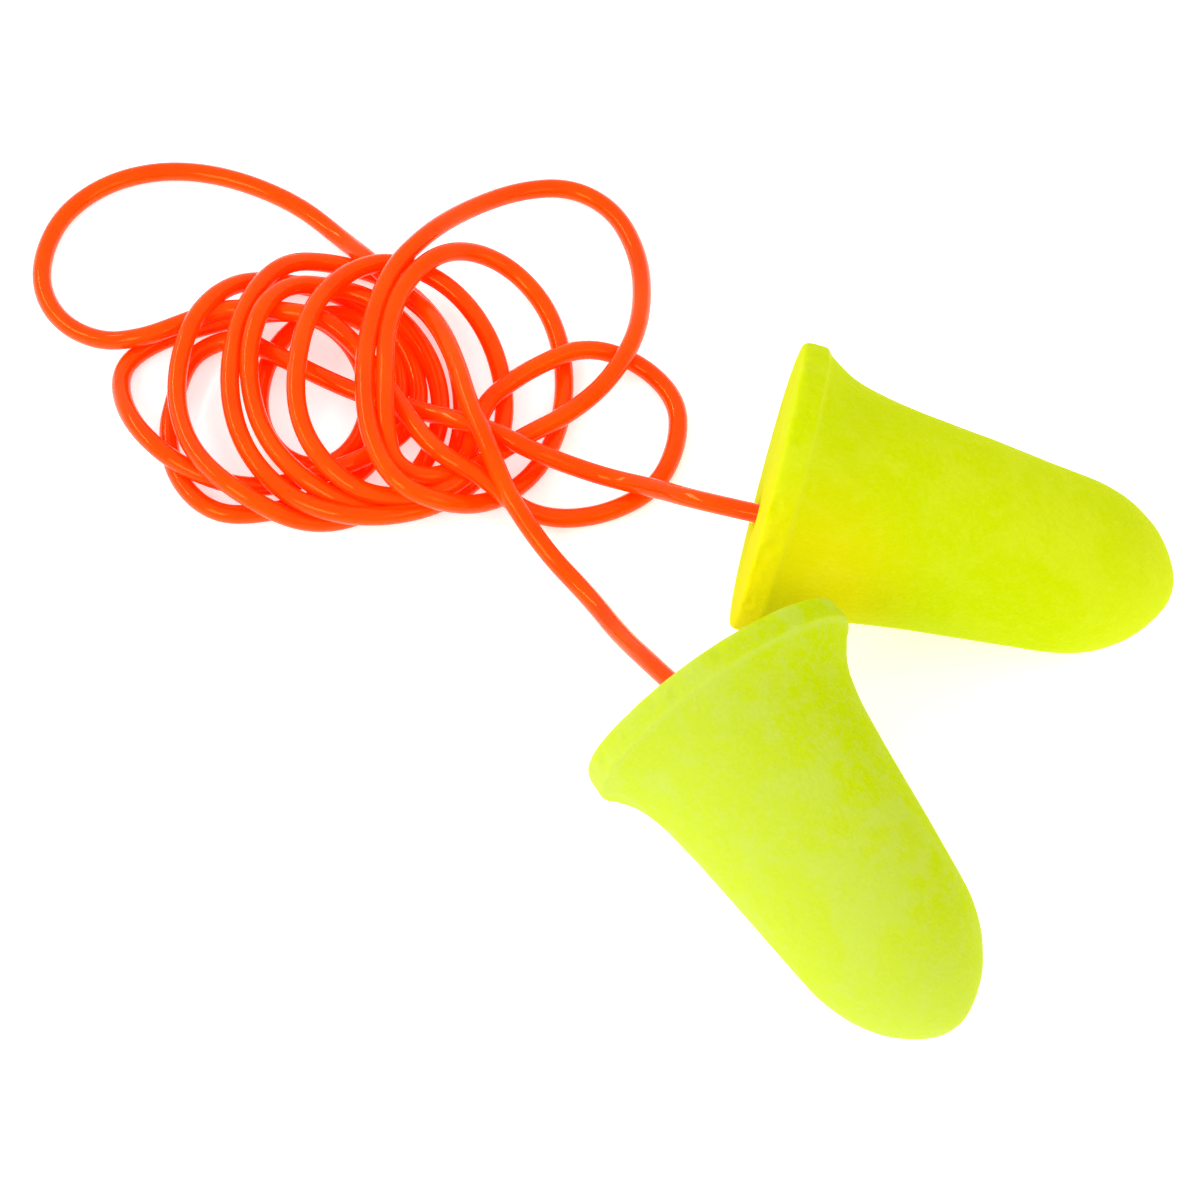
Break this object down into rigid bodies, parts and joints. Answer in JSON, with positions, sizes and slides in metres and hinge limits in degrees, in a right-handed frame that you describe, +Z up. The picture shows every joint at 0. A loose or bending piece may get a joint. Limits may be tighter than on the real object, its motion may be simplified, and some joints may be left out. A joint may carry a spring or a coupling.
{
  "type": "corded foam ear plugs",
  "caption": "Bell-shaped soft foam ear plugs joined by a thin vinyl cord that lies beside them in a loose coil.",
  "frame": {"origin": "on the table, under the middle of the box around the two plugs", "axes": "+Z up from the table; +Y from the front plug towards the rear plug; +X to the right, away from the coiled cord"},
  "size_m": [0.0676, 0.0621, 0.0168],
  "materials": {
    "foam": "matt fluorescent yellow-green polyurethane foam with a fine skin",
    "cord": "glossy orange vinyl, slightly translucent",
    "adhesive": "set clear adhesive"
  },
  "bodies": {
    "cord": {"cord_coil": "cord", "cord_rear_lead": "cord", "cord_front_lead": "cord", "cord_left_loop": "cord", "cord_rear_loop": "cord", "cord_middle_loop": "cord", "cord_right_loop": "cord"},
    "rear_plug": {"rear_foam_plug": "foam", "rear_adhesive": "adhesive", "rear_cord_end": "cord"},
    "front_plug": {"front_foam_plug": "foam", "front_adhesive": "adhesive", "front_cord_end": "cord"}
  },
  "joints": [
    {"name": "rear_plug_swivel", "type": "hinge", "parent": "cord", "child": "rear_plug", "pos_m": [-0.00699, 0.0125, 0.00572], "axis": [0, 0, 1], "range_deg": [-5, 35]},
    {"name": "front_plug_swivel", "type": "hinge", "parent": "cord", "child": "front_plug", "pos_m": [-0.01064, -0.00021, 0.00572], "axis": [0, 0, 1], "range_deg": [-45, 0]}
  ]
}
